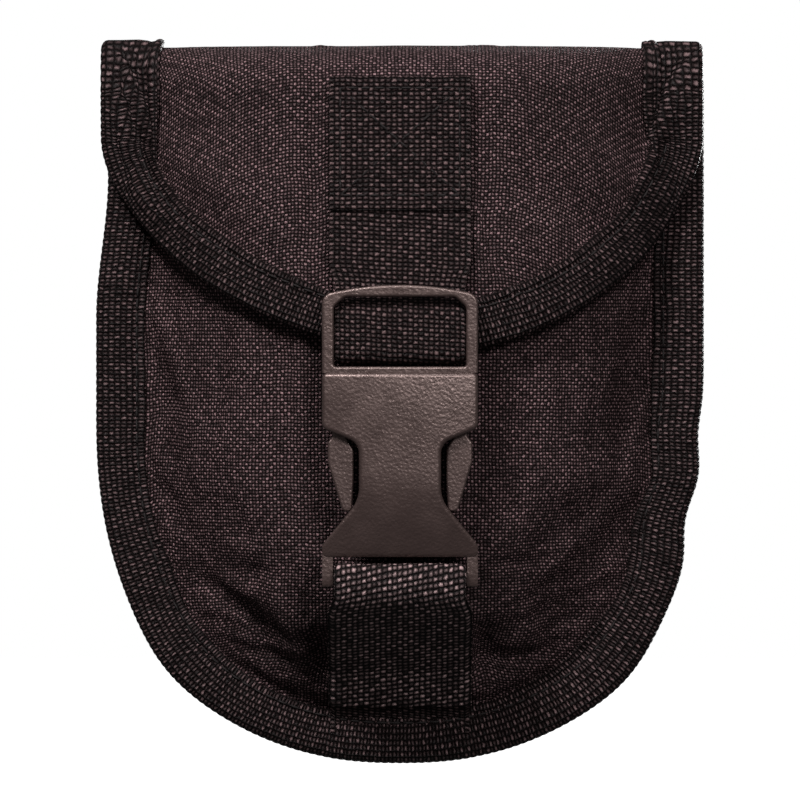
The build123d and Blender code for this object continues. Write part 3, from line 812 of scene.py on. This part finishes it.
def flap_line(step):
    """The flap's edge in the flap's own coordinates: x, and the distance below FLAP_LEVEL."""
    points, _, _ = edge_line(FLAP_HALF_WIDTH, FLAP_LEVEL + FLAP_ROLL - 3, FLAP_CURVE_TOP,
                             FLAP_DROP, FLAP_POWER, step)
    points[:, 1] += FLAP_LEVEL
    points[:, 1] += flap_lean(points[:, 0]) * smooth(9, 20, points[:, 1])
    points[:, 0] -= 0.52 * np.sign(points[:, 0]) * bell(points[:, 1], 27, 9)
    length = np.concatenate([[0], np.cumsum(np.linalg.norm(np.diff(points, axis=0), axis=1))])
    return points, inward_from(points), length


def make_flap_cloth(relief):
    """The flap's panel, from the back panel's top edge over the mouth to its curved edge."""
    across = np.linspace(-67.6, 67.6, 121)
    share = np.concatenate([np.linspace(0, 0.2, 56), np.linspace(0.2, 1, 78)[1:]])
    x = np.broadcast_to(across, (len(share), len(across)))
    end = flap_end(x, 1.6)
    down = -FLAP_ROLL + share[:, None] * (end + FLAP_ROLL)
    cloth = grid_object("flap_cloth", relief.at(x, down), relief.uv(x, down))
    thicken(cloth, CLOTH - 0.1)
    dress(cloth, CLOTH_LOOK, None, "nylon_cloth", "flap_panel")
    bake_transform(cloth)


def make_flap_tape(relief):
    """The tape round the flap, with its folded ends at the top corners."""
    line = flap_line(0.28)
    points, _, length = line
    high = 1 - smooth(4, 16, points[:, 1])
    width = BINDING_WIDTH + 1.9 * high + 0.35 * ripple(length, 0 * length, 37, 55)
    tape = fold_tape("flap_tape", relief, line, width, CLOTH + TAPE, 0.5 * high, 39)
    dress(tape, TAPE_LOOK, None, "binding_tape", "flap_binding")
    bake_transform(tape)


def make_flap_folds(relief):
    """The folded ends of the flap's tape, which stand up a little at the top corners."""
    for name, x in (("flap_fold_left", -55.6), ("flap_fold_right", 57.4)):
        down = np.arange(-9.0, 17.0, 0.5)[:, None]
        turn = np.linspace(0, 2 * np.pi, 14, endpoint=False)[None, :]
        fade = 1 - smooth(3, 17, down)
        a = x + np.cos(turn) * (0.5 + 0.5 * fade)
        lift = 0.7 + 0.7 * np.sin(turn) * (0.4 + 0.6 * fade) + 0.6 * fade
        down, turn = np.broadcast_arrays(down, turn)
        points = relief.at(a, down, lift)
        uv = np.stack([down, turn], -1) / 10
        fold = grid_object(name, points[:, ::-1], uv[:, ::-1], around=True, caps=True)
        dress(fold, TAPE_LOOK, None, "binding_tape")
        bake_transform(fold)


def make_flap_stitches(relief):
    """The stitching along the flap's tape."""
    points, inward, _ = flap_line(1.0)
    front = points[:, 1] > -5
    place = (points + inward * SEAM_INSET)[front]
    path = relief.at(place[:, 0], place[:, 1], TAPE + 0.05)
    normal = relief.at(place[:, 0], place[:, 1], 1.0) - relief.at(place[:, 0], place[:, 1])
    thread = stitches("flap_stitches", path, normal)
    dress(thread, THREAD_LOOK, "flap", "thread", "flap_seam_thread")


def make_patch():
    """The two plies of webbing sewn to the flap, and their box stitch with its cross."""
    face = -(DEPTH + FLAP_FACE)
    inner = face - 0.1 - WEBBING / 2
    outer = face - 0.2 - 1.5 * WEBBING
    for name, y, nodes in (("patch_under", inner, ()), ("patch_over", outer, ("strap_patch",))):
        path = [(y, PATCH_TOP), (y, PATCH_BOTTOM + 3.0), (y - 0.3, PATCH_BOTTOM - 0.8)]
        ply = strap(name, path, WEBBING_WIDTH - 0.4, seed=51, wave=0.1)
        dress(ply, WEBBING_LOOK, "flap", "webbing", *nodes)
    half = WEBBING_WIDTH / 2 - BOX_INSET
    low, high = PATCH_BOTTOM + BOX_INSET, PATCH_TOP - BOX_INSET
    corners = [(-half, low), (half, low), (half, high), (-half, high), (-half, low)]
    lines = [corners, [(-half, low), (half, high)], [(half, low), (-half, high)]]
    for number, line in enumerate(lines):
        path = np.array([(x, outer - WEBBING / 2 - 0.02, z) for x, z in line], float)
        path, _ = resample(path, 0.5)
        row = stitches(f"patch_stitches_{number}", path, (0, -1, 0))
        nodes = () if number else ("patch_thread",)
        dress(row, THREAD_LOOK, "flap", "thread", *nodes)


def make_upper_strap():
    """The strap's free end, from the patch behind the frame and round the plug's bar."""
    path = rounded(
        [(-33.45, 10.6), (-35.0, -8.8), (-35.0, -24.1), (-39.85, -24.1), (-39.85, -13.2),
         (-36.6, -10.4), (-34.85, 10.6)],
        [8.0, 2.2, 2.2, 2.0, 2.0])

    def width(points):
        wide = smooth(-7.5, -2.0, points[:, 1])
        return 29.0 + (WEBBING_WIDTH - 0.4 - 29.0) * wide

    obj = strap("upper_strap", path, width, slant=0.05, seed=53, wave=0.05)
    dress(obj, WEBBING_LOOK, None, "webbing", "upper_strap_loop")
    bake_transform(obj)


def make_lower_strap():
    """The strap between its sewn end and the receiver's end bar, two plies deep."""
    bar = -72.8  # z of the end bar's axis
    reach = 2.55  # from that axis to the middle of a ply
    back, front = BUCKLE_MIDDLE + reach, BUCKLE_MIDDLE - reach
    inner, outer = 1.25, 3.05
    path = rounded(
        [shoulder_point(SEWN_SHARE, inner), shoulder_point(0.22, inner), (back, bar - 3.5),
         (back, bar + reach), (front, bar + reach), (front, bar - 4.5),
         shoulder_point(0.22, outer), shoulder_point(SEWN_SHARE, outer)],
        [9.0, 4.0, 2.35, 2.35, 6.0, 9.0])

    def width(points):
        wide = 1 - smooth(-81, -76.5, points[:, 1])
        return 29.4 + (WEBBING_WIDTH + 0.4 - 29.4) * wide

    obj = strap("lower_strap", path, width, slant=0.17, seed=57, wave=0.1)
    # Painted light: this look's yarn is painted lighter, for a strap that faces downwards.
    dress(obj, COARSE_PAINTED_LIGHT_LOOK, None, "webbing", "lower_strap_loop")
    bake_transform(obj)


def make_strap_anchor():
    """The lower strap's sewn end, under the pouch's tape."""
    plies = (("strap_anchor_under", 0.95, ()), ("strap_anchor_over", 2.55, ("lower_strap_anchor",)))
    for name, offset, nodes in plies:
        y = -RIM_FRONT - offset + 0.3
        path = rounded([shoulder_point(0.075, offset), (y, -104.9), (y, -109.0)], [2.0])
        ply = strap(name, path[::-1], WEBBING_WIDTH - 0.4, slant=0.17, seed=61, wave=0.03)
        dress(ply, WEBBING_LOOK, None, "webbing", *nodes)
        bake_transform(ply)


def make_belt_loop():
    """The webbing loop on the back, with two rows of stitches at each end."""
    path = rounded(
        [(0.95, 37.5), (0.95, 31), (7.15, 27), (7.15, -27), (0.95, -31), (0.95, -37.5)],
        [3.0, 3.0, 3.0, 3.0])
    loop = strap("belt_loop_webbing", path[::-1], WEBBING_WIDTH, seed=63, wave=0.08)
    dress(loop, WEBBING_LOOK, "pouch", "webbing", "belt_loop")
    half = WEBBING_WIDTH / 2 - BOX_INSET
    for number, z in enumerate((35.9, 33.0, -33.0, -35.9)):
        path, _ = resample(np.array([(-half, 1.75, z), (half, 1.75, z)], float), 0.5)
        row = stitches(f"belt_stitches_{number}", path, (0, 1, 0))
        nodes = () if number else ("belt_loop_thread",)
        dress(row, THREAD_LOOK, "pouch", "thread", *nodes)


def make_lap_stitches():
    """The seam that holds the flap to the back panel."""
    path, _ = resample(np.array([(-56, 0.5, 41.6), (56, 0.5, 41.6)], float), 0.5)
    row = stitches("lap_stitches", path, (0, 1, 0))
    dress(row, THREAD_LOOK, "pouch", "thread")


def slice_across(mesh, low, high, step):
    """Adds edges round a mesh at even heights, so that it can bend lengthwise."""
    cut = bmesh.new()
    cut.from_mesh(mesh)
    for z in np.arange(low, high, step):
        everything = cut.verts[:] + cut.edges[:] + cut.faces[:]
        bmesh.ops.bisect_plane(cut, geom=everything, plane_co=(0, 0, z * MM), plane_no=(0, 0, 1))
    cut.to_mesh(mesh)
    cut.free()


def crown_lengthwise(mesh):
    """Moves the receiver's front face back towards its foot, and a little towards its head."""
    points = np.empty(len(mesh.vertices) * 3)
    mesh.vertices.foreach_get("co", points)
    points = points.reshape(-1, 3)
    z = points[:, 2] / MM
    front = np.clip((BUCKLE_MIDDLE - points[:, 1] / MM) / 5.5, 0, 1)
    foot = np.clip((-50.0 - z) / 18.0, 0, 1)
    head = np.clip((z + 38.0) / 11.2, 0, 1)
    points[:, 1] += (4.2 * foot**1.8 + 0.5 * head**2) * front * MM
    mesh.vertices.foreach_set("co", points.ravel())


def finish_buckle():
    """The plug's pieces keep their CAD shapes. The receiver's face is also crowned lengthwise."""
    for name in ("buckle_plug", "plug_prong_left", "plug_prong_right"):
        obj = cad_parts[name]
        obj.data.materials.clear()
        obj.data.materials.append(PLASTIC_LOOK)
    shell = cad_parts["buckle_receiver"].copy()
    shell.data = shell.data.copy()
    shell.name = "receiver_shell"
    shell.parent = None
    for key in list(shell.keys()):
        del shell[key]
    bpy.context.collection.objects.link(shell)
    mesh = shell.data
    slice_across(mesh, -67.5, -27.0, 1.5)
    crown_lengthwise(mesh)
    mesh.polygons.foreach_set("use_smooth", np.ones(len(mesh.polygons), bool))
    mesh.set_sharp_from_angle(angle=math.radians(28))
    mesh.update()
    mesh.materials.clear()
    dress(shell, PLASTIC_LOOK, "receiver", "acetal", "buckle_receiver")


# ---------------------------------------------------------------- camera, light and floor

def make_camera():
    """A long lens, level with the middle of the view."""
    data = bpy.data.cameras.new("camera")
    data.lens = 394
    data.sensor_width = 36
    camera = bpy.data.objects.new("camera", data)
    camera.location = (0.0, -2.002, -0.0329)
    camera.rotation_euler = (math.pi / 2, 0, 0)
    bpy.context.collection.objects.link(camera)
    bpy.context.scene.camera = camera


def area_light(name, location, size, watts):
    """A square light that faces the middle of the object."""
    data = bpy.data.lights.new(name, "AREA")
    data.shape = "SQUARE"
    data.size = size
    data.energy = watts
    light = bpy.data.objects.new(name, data)
    light.location = location
    direction = Vector((0, 0, -0.03)) - Vector(location)
    light.rotation_euler = direction.to_track_quat("-Z", "Y").to_euler()
    bpy.context.collection.objects.link(light)


def make_world(strength):
    """White to the camera, and dimmer as a light on the object."""
    world = bpy.data.worlds.new("studio")
    world.use_nodes = True
    tree = world.node_tree
    background = tree.nodes["Background"]
    background.inputs["Color"].default_value = (1, 1, 1, 1)
    path = tree.nodes.new("ShaderNodeLightPath")
    span = tree.nodes.new("ShaderNodeMapRange")
    span.inputs[3].default_value = strength
    span.inputs[4].default_value = 1.0
    tree.links.new(path.outputs["Is Camera Ray"], span.inputs[0])
    tree.links.new(span.outputs[0], background.inputs["Strength"])
    bpy.context.scene.world = world


def make_floor():
    """A white floor, low enough for the lower strap to swing down over it."""
    corners = 3.0 * np.array([(-1, -1), (1, -1), (1, 1), (-1, 1)])
    height = np.full((4, 1), -BOTTOM * MM - 0.065)
    points = np.concatenate([corners, height], axis=1)
    floor = mesh_object("floor", points / MM, [(0, 1, 2, 3)], corners)
    floor.data.materials.append(plain_floor("floor_white"))
    floor.visible_diffuse = False
    floor.visible_glossy = False


make_camera()
make_world(0.14)
area_light("key", (-0.40, -0.80, 0.85), 0.22, 19)
area_light("front", (0.36, -1.1, 0.55), 0.30, 11)
area_light("top", (0.05, -0.25, 0.9), 0.3, 1.5)
area_light("behind", (0.45, 1.0, 0.15), 0.4, 10)
make_floor()

front = make_front_relief()
flap = make_flap_relief()
make_back_cloth()
make_front_cloth(front)
make_rim_binding(front)
make_rim_stitches(front)
make_mouth_tape(front)
make_flap_cloth(flap)
make_flap_tape(flap)
make_flap_folds(flap)
make_flap_stitches(flap)
make_patch()
make_upper_strap()
make_lower_strap()
make_strap_anchor()
make_belt_loop()
make_lap_stitches()
finish_buckle()

bpy.context.scene.view_settings.view_transform = "Standard"
